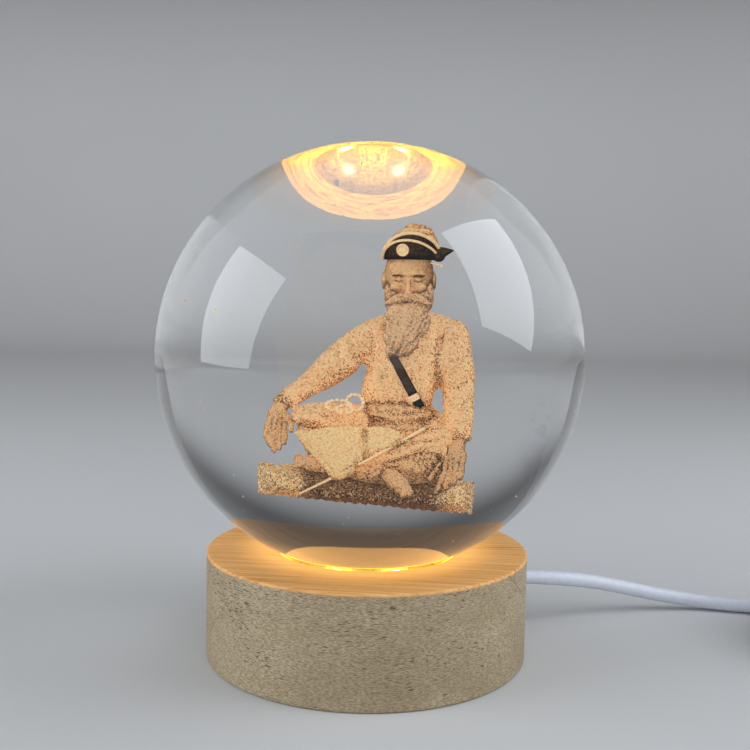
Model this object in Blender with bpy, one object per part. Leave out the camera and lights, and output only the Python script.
"""Crystal ball lamp: a clear glass ball with an engraved figure, on a lit wooden base with a USB lead.

Run with: blender --background --python part.py
Lengths are in metres and +Z is up. The origin is the centre of the base's underside, which the lamp stands on.
The ball's front, where the engraved figure faces, is towards -Y. The lead leaves the base on the right, at the back.
"""
import math

import bmesh
import bpy
import numpy as np
from mathutils import Euler, Matrix, Vector

MM = 0.001

# Clearances and faceting that all pieces share
GAP = 0.3 * MM                      # between two pieces that touch on the real lamp
OVERRUN = 1.0 * MM                  # how far a cutter runs past the face that it cuts
MERGE_DISTANCE = 0.0005 * MM        # closer vertices are one vertex
ROUND_SIDES = 48                    # sides of the ball, the base, the board and the cover
SMALL_SIDES = 12                    # sides of screws, bores and the button
SMOOTH_ANGLE = math.radians(35)

# Wooden base
BASE_DIAMETER = 61.0 * MM
BASE_HEIGHT = 20.0 * MM
BASE_EDGE = 0.5 * MM                # rounding of the two outer edges
WELL_DIAMETER = 33.2 * MM           # light well in the top
WELL_DEPTH = 6.0 * MM
SEAT_WIDTH = 0.8 * MM               # bevel at the well's mouth that the ball rests on
POCKET_DIAMETER = 44.0 * MM         # hollow below, for the board and the leads
COVER_DIAMETER = 52.0 * MM
COVER_THICKNESS = 1.7 * MM

# Glass ball and the figure engraved in it
BALL_DIAMETER = 80.0 * MM
FIGURE_HEIGHT = 36.0 * MM
FIGURE_CLEARANCE = 0.65 * MM        # between the engraved figure and the hollow that holds it
FIGURE_VOXEL = 0.5 * MM             # fineness at which the figure's forms are joined
FIGURE_FACE_SHARE = 0.10
HOLLOW_FACE_SHARE = 0.06
CHANNEL_DIAMETER = 1.0 * MM         # opens the figure's hollow at the ball's underside
CHANNEL_OFFSET = 3.0 * MM           # from the ball's lowest point

# Light board
BOARD_THICKNESS = 1.0 * MM
BOARD_CLEARANCE = 0.5 * MM          # round the board's edge
LED_SIZE = 5.0 * MM
LED_HEIGHT = 1.4 * MM
LED_RIM = 0.5 * MM
LED_WINDOW_DEPTH = 0.2 * MM
LED_SPACING = 11.0 * MM             # centre to centre, in a square
RESISTOR_LENGTH = 3.2 * MM
RESISTOR_WIDTH = 1.6 * MM
RESISTOR_HEIGHT = 0.6 * MM
RESISTOR_RADIUS = 9.0 * MM          # from the board's centre
RESISTOR_ANGLES_SHARE = (0.25, 0.42, 0.58, 0.75)    # shares of a turn, from the lead's side
PAD_RADIUS = 6.0 * MM               # where the leads meet the board, from its centre
PAD_SPACING = 5.0 * MM

# Screws
SCREW_SHANK_DIAMETER = 1.7 * MM
SCREW_HEAD_DIAMETER = 3.4 * MM
SCREW_HEAD_HEIGHT = 1.0 * MM
BOARD_SCREW_LENGTH = 5.0 * MM
COVER_SCREW_LENGTH = 7.0 * MM
SCREW_SLOT_WIDTH = 0.5 * MM
SCREW_SLOT_DEPTH = 0.5 * MM
SCREW_COUNT = 3
BOARD_SCREW_TURN_SHARE = 0.25       # share of a turn, from +X to the first screw
COVER_SCREW_TURN_SHARE = 0.0

# Cord and what holds it in the base
CORD_DIAMETER = 3.0 * MM
CORD_EXIT_ANGLE = math.radians(27)  # round the base, from +X towards +Y
CORD_INSIDE_LENGTH = 7.5 * MM       # past the pocket's wall
CORD_STEP = 6.0 * MM                # from point to point along a free stretch
STOP_THICKNESS = 0.6 * MM
STOP_LENGTH = 2.5 * MM
LEAD_DIAMETER = 1.0 * MM

# Route of the free cord, after it has left the base: points chosen by hand, in metres
ROUTE_TO_COIL = (
    (0.0428, 0.0190, 0.0086), (0.0513, 0.0230, 0.0066), (0.0636, 0.0260, 0.0035),
    (0.0756, 0.0262, 0.0017), (0.0850, 0.0240, 0.0016),
)
ROUTE_TO_PLUG = (
    (0.2020, 0.0168, 0.0040), (0.2085, 0.0125, 0.0022), (0.2125, 0.0050, 0.0016),
    (0.2120, -0.0040, 0.0016), (0.2065, -0.0105, 0.0020),
)

# Coil of the cord's unseen length
COIL_CENTRE_X = 106.0 * MM
COIL_CENTRE_Y = 1.6 * MM
COIL_INNER_RADIUS = 11.5 * MM       # of the innermost turn's centreline
COIL_LAYER_COUNT = 4
COIL_TURN_COUNT = 2.125
COIL_CLIMB_COUNT = 0.5
COIL_SPACE = 0.5 * MM               # between turns, sideways and up
COIL_CLIMB_BULGE = 0.7 * MM         # how far a climb leans out of its neighbours' way
COIL_POINT_COUNT = 24
TIE_THICKNESS = 0.6 * MM
TIE_WIDTH = 6.0 * MM
TIE_HEAD_LENGTH = 5.0 * MM
TIE_HEAD_THICKNESS = 2.0 * MM

# Inline switch
SWITCH_LENGTH = 44.0 * MM
SWITCH_WIDTH = 15.0 * MM
SWITCH_HEIGHT = 11.0 * MM
SWITCH_WALL = 1.3 * MM
SWITCH_ROUNDING = 3.0 * MM
SWITCH_FROM_COIL = 42.0 * MM        # from the coil's centre to the switch's near end
SWITCH_CORE_SIZE = 8.5 * MM
SWITCH_CORD_INSIDE = 6.0 * MM
BUTTON_DIAMETER = 7.2 * MM
BUTTON_FLANGE = 0.9 * MM            # how far the collar that keeps the button in stands out
BUTTON_FLANGE_THICKNESS = 0.8 * MM
BUTTON_PROUD = 1.6 * MM
BUTTON_TRAVEL = 1.3 * MM
BUTTON_STEM_DIAMETER = 2.8 * MM
BUTTON_STEM_LENGTH = 3.2 * MM

# USB plug
PLUG_BODY_LENGTH = 21.0 * MM
PLUG_BODY_WIDTH = 15.5 * MM
PLUG_BODY_HEIGHT = 8.0 * MM
PLUG_ROUNDING = 1.5 * MM
RELIEF_LENGTH = 10.0 * MM
RELIEF_TIP_DIAMETER = 5.0 * MM
RELIEF_ROOT_DIAMETER = 7.0 * MM
PLUG_CORD_INSIDE = 8.0 * MM
PLUG_SHELL_WIDTH = 12.0 * MM
PLUG_SHELL_HEIGHT = 4.5 * MM
PLUG_SHELL_LENGTH = 14.0 * MM       # that stands out of the grip
PLUG_SHELL_SEATED = 4.5 * MM        # that the grip holds
PLUG_SHELL_WALL = 0.35 * MM
PLUG_WINDOW = 2.3 * MM              # square windows in the shell
PLUG_WINDOW_SPACING = 5.2 * MM
PLUG_WINDOW_FROM_MOUTH = 6.5 * MM
TONGUE_THICKNESS = 1.8 * MM
TONGUE_FROM_MOUTH = 1.2 * MM
CONTACT_WIDTH = 1.0 * MM
CONTACT_LENGTH = 8.0 * MM
CONTACT_THICKNESS = 0.25 * MM
CONTACT_SPACING = 2.3 * MM
CONTACT_FROM_TIP = 1.0 * MM
CONTACT_COUNT = 4
PLUG_ENTRY_X = 192.0 * MM           # where the cord goes into the plug
PLUG_ENTRY_Y = -14.0 * MM

# Sizes that follow
BASE_RADIUS = BASE_DIAMETER / 2
BALL_RADIUS = BALL_DIAMETER / 2
CORD_RADIUS = CORD_DIAMETER / 2
WELL_RADIUS = WELL_DIAMETER / 2
SEAT_RADIUS = WELL_RADIUS + SEAT_WIDTH / 2
SEAT_ANGLE = math.asin(SEAT_RADIUS / (BALL_RADIUS + GAP))
SEAT_DROP = SEAT_WIDTH * math.tan(SEAT_ANGLE)
BALL_CENTRE_Z = BASE_HEIGHT - SEAT_DROP / 2 + (BALL_RADIUS + GAP) * math.cos(SEAT_ANGLE)
POCKET_RADIUS = POCKET_DIAMETER / 2
REBATE_RADIUS = COVER_DIAMETER / 2 + GAP
REBATE_DEPTH = COVER_THICKNESS + GAP
LEDGE_Z = BASE_HEIGHT - WELL_DEPTH
BOARD_TOP = LEDGE_Z - GAP
BOARD_BOTTOM = BOARD_TOP - BOARD_THICKNESS
BOARD_RADIUS = POCKET_RADIUS - BOARD_CLEARANCE
BOARD_SCREW_RADIUS = (WELL_RADIUS + POCKET_RADIUS) / 2
COVER_SCREW_RADIUS = (POCKET_RADIUS + REBATE_RADIUS) / 2
COVER_SCREW_Z = GAP + SCREW_HEAD_HEIGHT         # where a cover screw's head ends
CORD_EXIT_Z = BOARD_BOTTOM - GAP - STOP_THICKNESS - GAP - CORD_RADIUS
CORD_EXIT_WAY = Vector((math.cos(CORD_EXIT_ANGLE), math.sin(CORD_EXIT_ANGLE), 0))
COIL_PITCH = CORD_DIAMETER + COIL_SPACE
COIL_OUTER_RADIUS = COIL_INNER_RADIUS + COIL_PITCH * COIL_TURN_COUNT
COIL_LOWEST_Z = CORD_RADIUS + TIE_THICKNESS + GAP
COIL_HIGHEST_Z = COIL_LOWEST_Z + COIL_PITCH * (COIL_LAYER_COUNT - 1)
SWITCH_NEAR_X = COIL_CENTRE_X + SWITCH_FROM_COIL
SWITCH_CENTRE_X = SWITCH_NEAR_X + SWITCH_LENGTH / 2
SWITCH_CENTRE_Y = COIL_CENTRE_Y + COIL_OUTER_RADIUS
SWITCH_MIDDLE_Z = SWITCH_HEIGHT / 2
PLUG_MIDDLE_Z = PLUG_BODY_HEIGHT / 2

# The engraved figure's forms, as shares of its height, from the ball's centre.
# A round form has its centre and its three half widths.
FIGURE_ROUND_SHARES = {
    "chest": ((0.150, 0.042, -0.014), (0.160, 0.090, 0.150)),
    "belly": ((0.128, 0.028, -0.166), (0.145, 0.095, 0.112)),
    "hips": ((0.122, 0.028, -0.305), (0.178, 0.117, 0.122)),
    "head": ((0.128, 0.008, 0.272), (0.075, 0.083, 0.094)),
    "beard": ((0.122, -0.050, 0.128), (0.075, 0.047, 0.128)),
    "cap band": ((0.142, 0.008, 0.362), (0.111, 0.105, 0.036)),
    "cap crown": ((0.150, 0.008, 0.420), (0.081, 0.081, 0.044)),
    "left hand": ((-0.328, -0.069, -0.239), (0.036, 0.028, 0.067)),
    "right hand": ((0.272, -0.111, -0.378), (0.042, 0.031, 0.083)),
    "left foot": ((-0.210, -0.150, -0.385), (0.075, 0.047, 0.040)),
    "right foot": ((0.190, -0.190, -0.430), (0.050, 0.072, 0.045)),
}
# A limb has its two ends and the half width at each.
FIGURE_LIMB_SHARES = {
    "left upper arm": ((0.030, 0.042, 0.050), 0.066, (-0.105, 0.000, -0.083), 0.055),
    "left forearm": ((-0.105, 0.000, -0.083), 0.055, (-0.294, -0.055, -0.172), 0.039),
    "right upper arm": ((0.268, 0.042, 0.022), 0.068, (0.316, 0.014, -0.139), 0.058),
    "right forearm": ((0.316, 0.014, -0.139), 0.058, (0.302, -0.083, -0.305), 0.040),
    "left thigh": ((0.067, -0.028, -0.305), 0.088, (-0.211, -0.111, -0.239), 0.068),
    "right thigh": ((0.167, -0.028, -0.333), 0.088, (0.285, -0.139, -0.361), 0.068),
    "left shin": ((-0.211, -0.111, -0.244), 0.062, (0.110, -0.170, -0.415), 0.044),
    "right shin": ((0.285, -0.139, -0.372), 0.062, (-0.130, -0.160, -0.400), 0.042),
}
# A slab has its centre, its three half widths and its turn about X, Y and Z in degrees.
FIGURE_SLAB_SHARES = {
    "ground": ((-0.005, -0.055, -0.490), (0.360, 0.180, 0.026), (0, 2, 0)),
    "book": ((-0.150, -0.200, -0.320), (0.115, 0.085, 0.016), (38, 22, -18)),
}


# Materials and small helpers

def make_material(name, colour, roughness, metallic=0.0, transmission=0.0):
    """Return a Principled material."""
    material = bpy.data.materials.new(name)
    material.use_nodes = True
    shader = material.node_tree.nodes["Principled BSDF"]
    shader.inputs["Base Color"].default_value = (*colour, 1.0)
    shader.inputs["Roughness"].default_value = roughness
    shader.inputs["Metallic"].default_value = metallic
    shader.inputs["Transmission Weight"].default_value = transmission
    return material


def new_object(name, mesh, material=None):
    """Link a mesh to the scene as a named object."""
    piece = bpy.data.objects.new(name, mesh)
    bpy.context.scene.collection.objects.link(piece)
    if material:
        mesh.materials.clear()
        mesh.materials.append(material)
    return piece


def finish_mesh(name, shape, material=None, smooth=True):
    """Turn a bmesh into a named object with its faces pointing out."""
    bmesh.ops.remove_doubles(shape, verts=shape.verts, dist=MERGE_DISTANCE)
    bmesh.ops.recalc_face_normals(shape, faces=shape.faces)
    mesh = bpy.data.meshes.new(name)
    shape.to_mesh(mesh)
    shape.free()
    if smooth:
        mesh.shade_smooth()
        mesh.set_sharp_from_angle(angle=SMOOTH_ANGLE)
    return new_object(name, mesh, material)


def turned(name, profile, sides, material=None):
    """Spin a closed profile of (radius, height) points about Z."""
    shape = bmesh.new()
    verts = [shape.verts.new((radius, 0, height)) for radius, height in profile]
    edges = [shape.edges.new((a, b)) for a, b in zip(verts, verts[1:] + verts[:1])]
    bmesh.ops.spin(shape, geom=verts + edges, axis=(0, 0, 1), cent=(0, 0, 0),
                   steps=sides, angle=math.tau, use_merge=True)
    return finish_mesh(name, shape, material)


def rod(name, start, end, radius, sides=SMALL_SIDES, end_radius=None, material=None):
    """Make a round bar, or a cone, between two points."""
    start, end = Vector(start), Vector(end)
    way = end - start
    shape = bmesh.new()
    bmesh.ops.create_cone(shape, cap_ends=True, segments=sides, depth=way.length, radius1=radius,
                          radius2=radius if end_radius is None else end_radius)
    place = Matrix.Translation((start + end) / 2) @ way.to_track_quat("Z", "Y").to_matrix().to_4x4()
    bmesh.ops.transform(shape, matrix=place, verts=shape.verts)
    return finish_mesh(name, shape, material)


def block(name, low, high, material=None, rounding=0.0, round_edges=None):
    """Make a box between two corners, with the edges rounded that round_edges picks."""
    low, high = Vector(low), Vector(high)
    shape = bmesh.new()
    place = Matrix.Translation((low + high) / 2) @ Matrix.Diagonal((*(high - low), 1))
    bmesh.ops.create_cube(shape, size=1.0, matrix=place)
    if rounding:
        picked = [edge for edge in shape.edges if round_edges is None or round_edges(edge)]
        bmesh.ops.bevel(shape, geom=picked, offset=rounding, segments=3, profile=0.5,
                        affect="EDGES")
    return finish_mesh(name, shape, material)


def upright(edge):
    """Tell whether an edge runs along Z."""
    way = edge.verts[0].co - edge.verts[1].co
    return abs(way.z) > abs(way.x) + abs(way.y)


def along_x(edge):
    """Tell whether an edge runs along X."""
    way = edge.verts[0].co - edge.verts[1].co
    return abs(way.x) > abs(way.y) + abs(way.z)


def bake_modifiers(piece):
    """Replace a piece's mesh by what its modifiers make of it."""
    bpy.context.view_layer.update()
    graph = bpy.context.evaluated_depsgraph_get()
    mesh = bpy.data.meshes.new_from_object(piece.evaluated_get(graph))
    piece.modifiers.clear()
    piece.data = mesh
    return piece


def combine(piece, others, operation="DIFFERENCE"):
    """Cut others out of a piece, or join them to it, and remove them."""
    for other in others:
        modifier = piece.modifiers.new("combine", "BOOLEAN")
        modifier.operation = operation
        modifier.solver = "EXACT"
        modifier.object = other
        bake_modifiers(piece)
        bpy.data.objects.remove(other, do_unlink=True)
    piece.data.shade_smooth()
    piece.data.set_sharp_from_angle(angle=SMOOTH_ANGLE)
    return piece


def around(radius, turn, z=0.0):
    """Return the point at a radius and an angle about the lamp's axis."""
    return Vector((radius * math.cos(turn), radius * math.sin(turn), z))


def turns(count, first_share):
    """Return evenly spaced angles, the first at a share of a turn."""
    return [math.tau * (first_share + index / count) for index in range(count)]


# Cord routes

def smooth_route(points, step):
    """Return points at an even step along a smooth curve through the given points."""
    points = [Vector(point) for point in points]
    first = points[0] * 2 - points[1]
    last = points[-1] * 2 - points[-2]
    chain = [first, *points, last]
    fine = [points[0]]
    for before, start, end, after in zip(chain, chain[1:], chain[2:], chain[3:]):
        spans = [math.sqrt((b - a).length) for a, b in ((before, start), (start, end), (end, after))]
        leave = ((start - before) / spans[0] - (end - before) / (spans[0] + spans[1])
                 + (end - start) / spans[1]) * spans[1]
        arrive = ((end - start) / spans[1] - (after - start) / (spans[1] + spans[2])
                  + (after - end) / spans[2]) * spans[1]
        pieces = 24
        for index in range(1, pieces + 1):
            t = index / pieces
            fine.append(start * (2 * t**3 - 3 * t**2 + 1) + leave * (t**3 - 2 * t**2 + t)
                        + end * (3 * t**2 - 2 * t**3) + arrive * (t**3 - t**2))
    lengths = np.concatenate([[0.0], np.cumsum([(b - a).length for a, b in zip(fine, fine[1:])])])
    wanted = np.linspace(0, lengths[-1], max(2, round(lengths[-1] / step) + 1))
    coords = np.array([tuple(point) for point in fine])
    return [Vector(values) for values in
            zip(*(np.interp(wanted, lengths, coords[:, axis]) for axis in range(3)))]


def tube(name, points, radius, material, resolution=2):
    """Make a capped tube along points."""
    curve = bpy.data.curves.new(name, "CURVE")
    curve.dimensions = "3D"
    curve.bevel_depth = radius
    curve.bevel_resolution = resolution
    curve.use_fill_caps = True
    spline = curve.splines.new("POLY")
    spline.points.add(len(points) - 1)
    for spot, point in zip(spline.points, points):
        spot.co = (*point, 1.0)
    curve.materials.append(material)
    piece = bpy.data.objects.new(name, curve)
    bpy.context.scene.collection.objects.link(piece)
    return piece


def route_length(points):
    """Return the length of a chain of points."""
    return sum((Vector(b) - Vector(a)).length for a, b in zip(points, points[1:]))


def coil_points():
    """Return the coil's centreline, wound clockwise from its entry at the coil's +Y side.

    It spirals in on the lowest layer, climbs half a turn, spirals out on the next layer, and so on.
    """
    centre = Vector((COIL_CENTRE_X, COIL_CENTRE_Y, 0))
    points = []
    turned_by = 0.0
    for layer in range(COIL_LAYER_COUNT):
        z = COIL_LOWEST_Z + COIL_PITCH * layer
        inward = layer % 2 == 0
        steps = round(COIL_TURN_COUNT * COIL_POINT_COUNT)
        for index in range(steps + 1):
            share = index / steps
            radius = COIL_OUTER_RADIUS - COIL_PITCH * COIL_TURN_COUNT * (share if inward else 1 - share)
            turn = math.tau * (0.25 - turned_by - COIL_TURN_COUNT * share)
            points.append(centre + around(radius, turn, z))
        turned_by += COIL_TURN_COUNT
        if layer == COIL_LAYER_COUNT - 1:
            break
        steps = round(COIL_CLIMB_COUNT * COIL_POINT_COUNT)
        for index in range(1, steps):
            share = index / steps
            lean = COIL_CLIMB_BULGE * math.sin(math.pi * share)
            radius = COIL_INNER_RADIUS - lean if inward else COIL_OUTER_RADIUS + lean
            turn = math.tau * (0.25 - turned_by - COIL_CLIMB_COUNT * share)
            rise = COIL_PITCH * (0.5 - 0.5 * math.cos(math.pi * share))
            points.append(centre + around(radius, turn, z + rise))
        turned_by += COIL_CLIMB_COUNT
    straight = Vector((CORD_DIAMETER, 0, 0))
    return [points[0] - straight, *points, points[-1] + straight]


def least_gap(points, diameter):
    """Return the least space between two turns of a coil, measured on points between its own."""
    fine = []
    shares = (0.0, 0.25, 0.5, 0.75)
    for start, end in zip(points, points[1:]):
        fine.extend(start.lerp(end, share) for share in shares)
    spots = np.array([tuple(spot) for spot in fine])
    half_turn = COIL_POINT_COUNT * len(shares) // 2
    least = math.inf
    for index in range(len(spots) - half_turn):
        distance = np.linalg.norm(spots[index + half_turn:] - spots[index], axis=1).min()
        least = min(least, float(distance))
    return least - diameter


# Wooden base and what it holds

def base_profile():
    """Return the base's section, from the rebate for the cover round to the pocket's wall."""
    quarter = (0.0, 0.5, 1.0)
    lower = [(BASE_RADIUS - BASE_EDGE + BASE_EDGE * math.sin(share * math.pi / 2),
              BASE_EDGE - BASE_EDGE * math.cos(share * math.pi / 2)) for share in quarter]
    upper = [(radius, BASE_HEIGHT - height) for radius, height in reversed(lower)]
    return [
        (REBATE_RADIUS, 0), *lower, *upper,
        (WELL_RADIUS + SEAT_WIDTH, BASE_HEIGHT), (WELL_RADIUS, BASE_HEIGHT - SEAT_DROP),
        (WELL_RADIUS, LEDGE_Z), (POCKET_RADIUS, LEDGE_Z), (POCKET_RADIUS, REBATE_DEPTH),
        (REBATE_RADIUS, REBATE_DEPTH),
    ]


def pilot_holes(radius, first_share, face_z, depth):
    """Return cutters for a ring of screw holes that open downwards at a face."""
    holes = []
    for turn in turns(SCREW_COUNT, first_share):
        foot = around(radius, turn, face_z - OVERRUN)
        tip = around(radius, turn, face_z + depth)
        holes.append(rod("hole", foot, tip, SCREW_SHANK_DIAMETER / 2 + GAP))
    return holes


def make_base(wood):
    """Make the wooden puck with its light well, pocket, cover rebate, cord hole and screw holes."""
    base = turned("wooden_base", base_profile(), ROUND_SIDES, wood)
    way_in = CORD_EXIT_WAY * (POCKET_RADIUS - OVERRUN)
    way_out = CORD_EXIT_WAY * (BASE_RADIUS + OVERRUN)
    height = Vector((0, 0, CORD_EXIT_Z))
    cord_hole = rod("cord hole", way_in + height, way_out + height, CORD_RADIUS + GAP)
    board_grip = BOARD_BOTTOM - GAP + BOARD_SCREW_LENGTH + GAP - LEDGE_Z
    cover_grip = COVER_SCREW_Z + COVER_SCREW_LENGTH + GAP - REBATE_DEPTH
    cutters = [cord_hole]
    cutters += pilot_holes(BOARD_SCREW_RADIUS, BOARD_SCREW_TURN_SHARE, LEDGE_Z, board_grip)
    cutters += pilot_holes(COVER_SCREW_RADIUS, COVER_SCREW_TURN_SHARE, REBATE_DEPTH, cover_grip)
    combine(base, cutters)


def make_screw(name, place, length, countersunk, material):
    """Make one screw with its head down and its tip up, its head's underside at place."""
    shank = SCREW_SHANK_DIAMETER / 2
    head = SCREW_HEAD_DIAMETER / 2
    neck = (shank, 0) if countersunk else (head, 0)
    tip = length - shank
    profile = [(0, -SCREW_HEAD_HEIGHT), (head, -SCREW_HEAD_HEIGHT), neck]
    if not countersunk:
        profile.append((shank, 0))
    profile += [(shank, tip), (0, length)]
    screw = turned(name, profile, SMALL_SIDES, material)
    reach = head + OVERRUN
    half = SCREW_SLOT_WIDTH / 2
    low_z = -SCREW_HEAD_HEIGHT - OVERRUN
    high_z = -SCREW_HEAD_HEIGHT + SCREW_SLOT_DEPTH
    combine(screw, [block("slot", (-reach, -half, low_z), (reach, half, high_z))])
    screw.location = place


def make_board(board_white, led_white, resistor_black, steel):
    """Make the light board with its LEDs above and its resistors and screws below."""
    board = rod("led_board", (0, 0, BOARD_BOTTOM), (0, 0, BOARD_TOP), BOARD_RADIUS, ROUND_SIDES,
                material=board_white)
    combine(board, pilot_holes(BOARD_SCREW_RADIUS, BOARD_SCREW_TURN_SHARE, BOARD_BOTTOM,
                               BOARD_THICKNESS + OVERRUN))
    corners = ((-1, -1), (1, -1), (1, 1), (-1, 1))
    for number, (side_x, side_y) in enumerate(corners, start=1):
        shape = bmesh.new()
        place = Matrix.Diagonal((LED_SIZE, LED_SIZE, LED_HEIGHT, 1))
        bmesh.ops.create_cube(shape, size=1.0, matrix=place)
        top = [face for face in shape.faces if face.normal.z > 0.5]
        bmesh.ops.inset_region(shape, faces=top, thickness=LED_RIM)
        bmesh.ops.translate(shape, verts=top[0].verts, vec=(0, 0, -LED_WINDOW_DEPTH))
        led = finish_mesh(f"led_{number}", shape, led_white, smooth=False)
        led.location = (side_x * LED_SPACING / 2, side_y * LED_SPACING / 2,
                        BOARD_TOP + GAP + LED_HEIGHT / 2)
    for number, share in enumerate(RESISTOR_ANGLES_SHARE, start=1):
        half = Vector((RESISTOR_LENGTH, RESISTOR_WIDTH, RESISTOR_HEIGHT)) / 2
        resistor = block(f"resistor_{number}", -half, half, resistor_black)
        turn = CORD_EXIT_ANGLE + math.tau * share
        resistor.location = around(RESISTOR_RADIUS, turn, BOARD_BOTTOM - GAP - RESISTOR_HEIGHT / 2)
        resistor.rotation_euler = (0, 0, turn + math.pi / 2)
    for number, turn in enumerate(turns(SCREW_COUNT, BOARD_SCREW_TURN_SHARE), start=1):
        place = around(BOARD_SCREW_RADIUS, turn, BOARD_BOTTOM - GAP)
        make_screw(f"board_screw_{number}", place, BOARD_SCREW_LENGTH, False, steel)


def make_cover(plastic, steel):
    """Make the cover let into the underside, and its countersunk screws."""
    cover = rod("bottom_cover", (0, 0, 0), (0, 0, COVER_THICKNESS), COVER_DIAMETER / 2, ROUND_SIDES,
                material=plastic)
    cutters = []
    head = SCREW_HEAD_DIAMETER / 2 + GAP
    shank = SCREW_SHANK_DIAMETER / 2 + GAP
    for number, turn in enumerate(turns(SCREW_COUNT, COVER_SCREW_TURN_SHARE), start=1):
        foot = around(COVER_SCREW_RADIUS, turn)
        top = COVER_THICKNESS + OVERRUN
        profile = [(0, -OVERRUN), (head, -OVERRUN), (head, GAP), (shank, COVER_SCREW_Z), (shank, top),
                   (0, top)]
        cutter = turned("countersink", profile, SMALL_SIDES)
        cutter.location = foot
        cutters.append(cutter)
        place = around(COVER_SCREW_RADIUS, turn, COVER_SCREW_Z)
        make_screw(f"cover_screw_{number}", place, COVER_SCREW_LENGTH, True, steel)
    combine(cover, cutters)


def make_cord_entry(cord_white, red, black, nylon):
    """Make the stop on the cord inside the base, and the two leads up to the board."""
    side = Vector((-CORD_EXIT_WAY.y, CORD_EXIT_WAY.x, 0))
    height = Vector((0, 0, CORD_EXIT_Z))
    stop_radius = CORD_RADIUS + GAP + STOP_THICKNESS
    stop_face = math.sqrt(POCKET_RADIUS**2 - stop_radius**2) - GAP
    stop = rod("cord_stop", CORD_EXIT_WAY * (stop_face - STOP_LENGTH) + height,
               CORD_EXIT_WAY * stop_face + height, stop_radius, material=nylon)
    bore = rod("bore", CORD_EXIT_WAY * (stop_face - STOP_LENGTH - OVERRUN) + height,
               CORD_EXIT_WAY * (stop_face + OVERRUN) + height, CORD_RADIUS + GAP)
    combine(stop, [bore])
    cord_end = POCKET_RADIUS - CORD_INSIDE_LENGTH - GAP
    pad_height = Vector((0, 0, BOARD_BOTTOM - GAP))
    for name, sign, material in (("red_lead", 1, red), ("black_lead", -1, black)):
        start = CORD_EXIT_WAY * cord_end + side * (sign * (LEAD_DIAMETER / 2 + GAP)) + height
        pad = CORD_EXIT_WAY * PAD_RADIUS + side * (sign * PAD_SPACING / 2) + pad_height
        rise = Vector((0, 0, LEAD_DIAMETER))
        middle = start.lerp(pad - rise, 0.5)
        points = [start, start - CORD_EXIT_WAY * LEAD_DIAMETER, middle, pad - rise, pad]
        tube(name, smooth_route(points, LEAD_DIAMETER), LEAD_DIAMETER / 2, material, resolution=1)


# Glass ball and its figure

def figure_point(shares):
    """Return the place of a share of the figure's height from the ball's centre."""
    return Vector(shares) * FIGURE_HEIGHT + Vector((0, 0, BALL_CENTRE_Z))


def figure_forms(name, swell, face_share, material):
    """Join the figure's overlapping forms, each grown by swell, into one body."""
    shape = bmesh.new()
    for centre, half in FIGURE_ROUND_SHARES.values():
        size = [share * FIGURE_HEIGHT + swell for share in half]
        place = Matrix.Translation(figure_point(centre)) @ Matrix.Diagonal((*size, 1))
        bmesh.ops.create_icosphere(shape, subdivisions=3, radius=1.0, matrix=place)
    for start, start_half, end, end_half in FIGURE_LIMB_SHARES.values():
        first, last = figure_point(start), figure_point(end)
        first_radius = start_half * FIGURE_HEIGHT + swell
        last_radius = end_half * FIGURE_HEIGHT + swell
        way = last - first
        place = (Matrix.Translation((first + last) / 2)
                 @ way.to_track_quat("Z", "Y").to_matrix().to_4x4())
        bmesh.ops.create_cone(shape, cap_ends=True, segments=2 * SMALL_SIDES, depth=way.length,
                              radius1=first_radius, radius2=last_radius, matrix=place)
        for spot, radius in ((first, first_radius), (last, last_radius)):
            bmesh.ops.create_icosphere(shape, subdivisions=3, radius=radius,
                                       matrix=Matrix.Translation(spot))
    for centre, half, angles in FIGURE_SLAB_SHARES.values():
        size = [2 * (share * FIGURE_HEIGHT + swell) for share in half]
        turn = Euler([math.radians(angle) for angle in angles]).to_matrix().to_4x4()
        place = Matrix.Translation(figure_point(centre)) @ turn @ Matrix.Diagonal((*size, 1))
        bmesh.ops.create_cube(shape, size=1.0, matrix=place)
    mesh = bpy.data.meshes.new(name)
    shape.to_mesh(mesh)
    shape.free()
    figure = new_object(name, mesh, material)
    remesh = figure.modifiers.new("join", "REMESH")
    remesh.mode = "VOXEL"
    remesh.voxel_size = FIGURE_VOXEL
    decimate = figure.modifiers.new("thin out", "DECIMATE")
    decimate.ratio = face_share
    decimate.use_collapse_triangulate = True
    return bake_modifiers(figure)


def make_ball(glass, engraving):
    """Make the glass ball, the figure in it, and the hollow and channel that the figure needs."""
    shape = bmesh.new()
    bmesh.ops.create_uvsphere(shape, u_segments=ROUND_SIDES, v_segments=ROUND_SIDES // 2,
                              radius=BALL_RADIUS, matrix=Matrix.Translation((0, 0, BALL_CENTRE_Z)))
    ball = finish_mesh("crystal_ball", shape, glass)
    hollow = figure_forms("hollow", FIGURE_CLEARANCE, HOLLOW_FACE_SHARE, None)
    ground_z = figure_point(FIGURE_SLAB_SHARES["ground"][0]).z
    foot = (CHANNEL_OFFSET, 0, BALL_CENTRE_Z - BALL_RADIUS - OVERRUN)
    channel = rod("channel", foot, (CHANNEL_OFFSET, 0, ground_z), CHANNEL_DIAMETER / 2)
    combine(ball, [hollow, channel])
    figure_forms("engraved_figure", 0.0, FIGURE_FACE_SHARE, engraving)


# Cord, coil and tie

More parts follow.
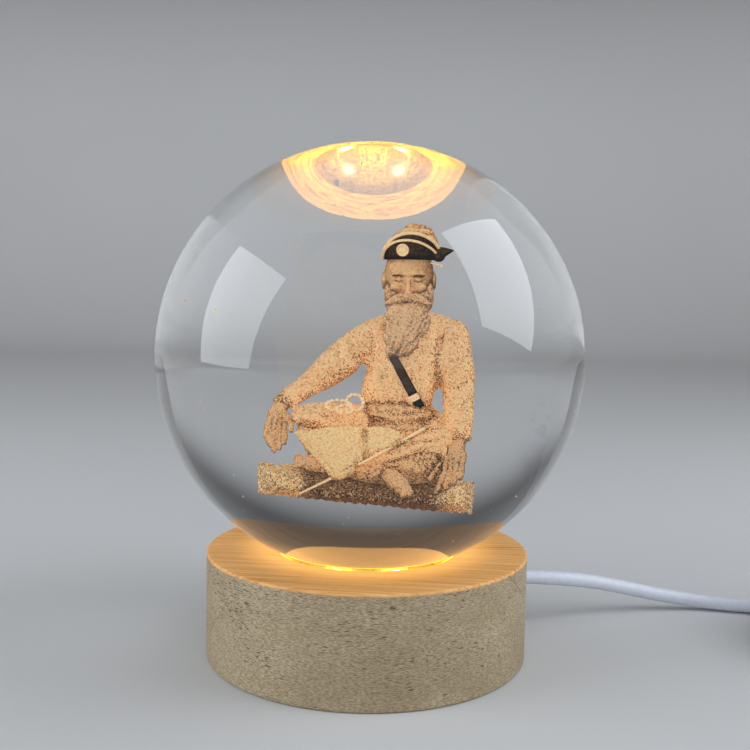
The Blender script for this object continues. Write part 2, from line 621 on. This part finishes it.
def make_cord(cord_white, nylon):
    """Make the free cord from the base to the coil, the coil, and the stretch on to the switch."""
    height = Vector((0, 0, CORD_EXIT_Z))
    inner_end = CORD_EXIT_WAY * (POCKET_RADIUS - CORD_INSIDE_LENGTH) + height
    exit_point = CORD_EXIT_WAY * BASE_RADIUS + height
    clear = CORD_EXIT_WAY * (BASE_RADIUS + CORD_DIAMETER) + height
    coil = coil_points()
    meeting = Vector((GAP, 0, 0))
    straight = Vector((CORD_DIAMETER, 0, 0))
    entry = coil[0] - meeting
    route = [inner_end, exit_point, clear, *ROUTE_TO_COIL, entry - straight, entry]
    tube("power_cord", smooth_route(route, CORD_STEP), CORD_RADIUS, cord_white)
    tube("cord_coil", coil, CORD_RADIUS, cord_white, resolution=1)
    leaving = coil[-1] + meeting
    switch_mouth = Vector((SWITCH_NEAR_X, SWITCH_CENTRE_Y, SWITCH_MIDDLE_Z))
    inside = Vector((SWITCH_WALL + SWITCH_CORD_INSIDE, 0, 0))
    onward = [leaving, leaving + straight, switch_mouth - straight, switch_mouth, switch_mouth + inside]
    tube("cord_to_switch", smooth_route(onward, CORD_STEP), CORD_RADIUS, cord_white)
    print(f"cord from its end in the base to the coil: {route_length(smooth_route(route, CORD_STEP)):.4f} m")
    print(f"cord in the coil: {route_length(coil):.4f} m")
    print(f"cord from the coil to the switch: {route_length(smooth_route(onward, CORD_STEP)):.4f} m")
    print(f"least gap between the coil's turns: {least_gap(coil, CORD_DIAMETER) / MM:.3f} mm")
    make_tie(nylon)


def make_tie(nylon):
    """Make the band that holds the coil's turns together on its -Y side, with its buckle outside."""
    half = TIE_WIDTH / 2
    inner_turn = COIL_INNER_RADIUS - COIL_CLIMB_BULGE - CORD_RADIUS
    near = math.sqrt(inner_turn**2 - half**2) - GAP
    far = COIL_OUTER_RADIUS + CORD_RADIUS + GAP
    top = COIL_HIGHEST_Z + CORD_RADIUS + GAP
    x, y = COIL_CENTRE_X, COIL_CENTRE_Y
    tie = block("coil_tie", (x - half, y - far - TIE_THICKNESS, 0),
                (x + half, y - near + TIE_THICKNESS, top + TIE_THICKNESS), nylon,
                rounding=TIE_THICKNESS, round_edges=along_x)
    hole = block("hole", (x - half - OVERRUN, y - far, TIE_THICKNESS),
                 (x + half + OVERRUN, y - near, top))
    combine(tie, [hole])
    middle = (COIL_LOWEST_Z + COIL_HIGHEST_Z) / 2
    buckle = block("buckle", (x - half, y - far - TIE_HEAD_THICKNESS, middle - TIE_HEAD_LENGTH / 2),
                   (x + half, y - far - TIE_THICKNESS / 2, middle + TIE_HEAD_LENGTH / 2))
    combine(tie, [buckle], "UNION")


# Inline switch

def make_switch(shell_white, button_white, core_black, red, black):
    """Make the switch's two shells, its button, its latching core and the conductors in it."""
    x, y = SWITCH_CENTRE_X, SWITCH_CENTRE_Y
    half_length, half_width = SWITCH_LENGTH / 2, SWITCH_WIDTH / 2
    split = SWITCH_MIDDLE_Z
    roof = SWITCH_HEIGHT - SWITCH_WALL
    button_hole = BUTTON_DIAMETER / 2 + GAP
    halves = (("switch_lower_shell", 0.0, split - GAP / 2, SWITCH_WALL, split + OVERRUN),
              ("switch_upper_shell", split + GAP / 2, SWITCH_HEIGHT, split - OVERRUN, roof))
    for name, low_z, high_z, inner_low, inner_high in halves:
        shell = block(name, (x - half_length, y - half_width, low_z),
                      (x + half_length, y + half_width, high_z), shell_white,
                      rounding=SWITCH_ROUNDING, round_edges=upright)
        inside = block("inside", (x - half_length + SWITCH_WALL, y - half_width + SWITCH_WALL, inner_low),
                       (x + half_length - SWITCH_WALL, y + half_width - SWITCH_WALL, inner_high),
                       rounding=SWITCH_ROUNDING - SWITCH_WALL, round_edges=upright)
        notch = rod("notch", (x - half_length - OVERRUN, y, split), (x + half_length + OVERRUN, y, split),
                    CORD_RADIUS + GAP)
        cutters = [inside, notch]
        if high_z == SWITCH_HEIGHT:
            cutters.append(rod("button hole", (x, y, roof - OVERRUN), (x, y, SWITCH_HEIGHT + OVERRUN),
                               button_hole, 2 * SMALL_SIDES))
        combine(shell, cutters)
    flange_top = roof - GAP
    flange_bottom = flange_top - BUTTON_FLANGE_THICKNESS
    core_top = flange_bottom - BUTTON_TRAVEL - GAP
    core_bottom = SWITCH_WALL + GAP
    stem_tip = flange_bottom - BUTTON_STEM_LENGTH
    bore_bottom = stem_tip - BUTTON_TRAVEL - GAP
    cap, collar = BUTTON_DIAMETER / 2, BUTTON_DIAMETER / 2 + BUTTON_FLANGE
    cap_top = SWITCH_HEIGHT + BUTTON_PROUD
    stem = BUTTON_STEM_DIAMETER / 2
    profile = [(0, stem_tip), (stem, stem_tip), (stem, flange_bottom), (collar, flange_bottom),
               (collar, flange_top), (cap, flange_top), (cap, cap_top - GAP), (cap - GAP, cap_top),
               (0, cap_top)]
    button = turned("switch_button", profile, 2 * SMALL_SIDES, button_white)
    button.location = (x, y, 0)
    half_core = SWITCH_CORE_SIZE / 2
    core = block("switch_core", (x - half_core, y - half_core, core_bottom),
                 (x + half_core, y + half_core, core_top), core_black)
    combine(core, [rod("bore", (x, y, bore_bottom), (x, y, core_top + OVERRUN), stem + GAP)])
    make_switch_leads(red, black)


def make_switch_leads(red, black):
    """Make the live conductor's two halves, and the return that passes the core."""
    x, y, z = SWITCH_CENTRE_X, SWITCH_CENTRE_Y, SWITCH_MIDDLE_Z
    lead = LEAD_DIAMETER / 2
    offset = lead + GAP
    reach = SWITCH_LENGTH / 2 - SWITCH_WALL - SWITCH_CORD_INSIDE - GAP
    core_face = SWITCH_CORE_SIZE / 2 + GAP
    for name, sign in (("switch_live_in", -1), ("switch_live_out", 1)):
        points = [(x + sign * reach, y + offset, z), (x + sign * core_face, y + offset, z)]
        tube(name, smooth_route(points, LEAD_DIAMETER * 2), lead, red, resolution=1)
    beside = y - core_face - lead
    points = [(x - reach, y - offset, z), (x - reach + LEAD_DIAMETER, y - offset, z),
              (x - core_face, beside, z), (x + core_face, beside, z),
              (x + reach - LEAD_DIAMETER, y - offset, z), (x + reach, y - offset, z)]
    tube("switch_return", smooth_route(points, LEAD_DIAMETER), lead, black, resolution=1)


# USB plug and the stretch of cord that ends in it

def make_plug(cord_white, grip_white, steel, tongue_white, gold):
    """Make the plug, which lies flat and points along -X, and the cord from the switch to it."""
    x, y, z = PLUG_ENTRY_X, PLUG_ENTRY_Y, PLUG_MIDDLE_Z
    switch_end = Vector((SWITCH_NEAR_X + SWITCH_LENGTH, SWITCH_CENTRE_Y, SWITCH_MIDDLE_Z))
    inside = Vector((SWITCH_WALL + SWITCH_CORD_INSIDE, 0, 0))
    straight = Vector((CORD_DIAMETER, 0, 0))
    entry = Vector((x, y, z))
    route = [switch_end - inside, switch_end, switch_end + straight, *ROUTE_TO_PLUG,
             entry + straight, entry, entry - Vector((PLUG_CORD_INSIDE, 0, 0))]
    tube("cord_to_plug", smooth_route(route, CORD_STEP), CORD_RADIUS, cord_white)
    print(f"cord from the switch to the plug: {route_length(smooth_route(route, CORD_STEP)):.4f} m")

    body_back = x - RELIEF_LENGTH
    body_front = body_back - PLUG_BODY_LENGTH
    half_width, half_height = PLUG_BODY_WIDTH / 2, PLUG_BODY_HEIGHT / 2
    grip = block("plug_body", (body_front, y - half_width, z - half_height),
                 (body_back, y + half_width, z + half_height), grip_white,
                 rounding=PLUG_ROUNDING)
    relief = rod("relief", (x, y, z), (body_back - OVERRUN, y, z), RELIEF_TIP_DIAMETER / 2,
                 end_radius=RELIEF_ROOT_DIAMETER / 2)
    combine(grip, [relief], "UNION")
    socket_back = body_front + PLUG_SHELL_SEATED + GAP
    half_shell = PLUG_SHELL_WIDTH / 2
    half_thick = PLUG_SHELL_HEIGHT / 2
    bore = rod("bore", (x + OVERRUN, y, z), (x - PLUG_CORD_INSIDE - GAP, y, z), CORD_RADIUS + GAP)
    socket = block("socket", (body_front - OVERRUN, y - half_shell - GAP, z - half_thick - GAP),
                   (socket_back, y + half_shell + GAP, z + half_thick + GAP))
    combine(grip, [bore, socket])

    mouth = body_front - PLUG_SHELL_LENGTH
    shell_back = body_front + PLUG_SHELL_SEATED
    wall = PLUG_SHELL_WALL
    shell = block("plug_shell", (mouth, y - half_shell, z - half_thick),
                  (shell_back, y + half_shell, z + half_thick), steel)
    cutters = [block("inside", (mouth - OVERRUN, y - half_shell + wall, z - half_thick + wall),
                     (shell_back + OVERRUN, y + half_shell - wall, z + half_thick - wall))]
    for side in (-1, 1):
        window_x = mouth + PLUG_WINDOW_FROM_MOUTH
        window_y = y + side * PLUG_WINDOW_SPACING / 2
        cutters.append(block("window", (window_x - PLUG_WINDOW / 2, window_y - PLUG_WINDOW / 2,
                                        z - half_thick - OVERRUN),
                             (window_x + PLUG_WINDOW / 2, window_y + PLUG_WINDOW / 2,
                              z + half_thick + OVERRUN)))
    combine(shell, cutters)
    tongue_top = z + half_thick - wall - GAP
    tongue_bottom = tongue_top - TONGUE_THICKNESS
    tongue_side = half_shell - wall - GAP
    tip = mouth + TONGUE_FROM_MOUTH
    block("plug_tongue", (tip, y - tongue_side, tongue_bottom), (shell_back, y + tongue_side, tongue_top),
          tongue_white)
    contact_top = tongue_bottom - GAP
    for number in range(1, CONTACT_COUNT + 1):
        contact_y = y + (number - (CONTACT_COUNT + 1) / 2) * CONTACT_SPACING
        start = tip + CONTACT_FROM_TIP
        block(f"plug_contact_{number}",
              (start, contact_y - CONTACT_WIDTH / 2, contact_top - CONTACT_THICKNESS),
              (start + CONTACT_LENGTH, contact_y + CONTACT_WIDTH / 2, contact_top), gold)


def main():
    """Clear the scene and make the lamp."""
    for leftover in list(bpy.data.objects):
        bpy.data.objects.remove(leftover, do_unlink=True)
    wood = make_material("beech wood", (0.62, 0.47, 0.31), 0.6)
    glass = make_material("clear glass", (0.95, 0.96, 0.98), 0.02, transmission=1.0)
    engraving = make_material("engraved points", (0.85, 0.72, 0.55), 0.7)
    board_white = make_material("white board", (0.85, 0.84, 0.80), 0.4)
    led_white = make_material("LED", (0.95, 0.80, 0.35), 0.3)
    cord_white = make_material("white PVC", (0.86, 0.88, 0.90), 0.45)
    plastic_white = make_material("white plastic", (0.88, 0.89, 0.90), 0.35)
    black = make_material("black plastic", (0.03, 0.03, 0.03), 0.45)
    red = make_material("red lead", (0.60, 0.04, 0.03), 0.45)
    steel = make_material("plated steel", (0.70, 0.70, 0.72), 0.3, metallic=1.0)
    gold = make_material("gold contacts", (0.85, 0.62, 0.25), 0.25, metallic=1.0)
    make_base(wood)
    make_board(board_white, led_white, black, steel)
    make_cover(black, steel)
    make_cord_entry(cord_white, red, black, plastic_white)
    make_ball(glass, engraving)
    make_cord(cord_white, plastic_white)
    make_switch(plastic_white, plastic_white, black, red, black)
    make_plug(cord_white, plastic_white, steel, plastic_white, gold)


main()
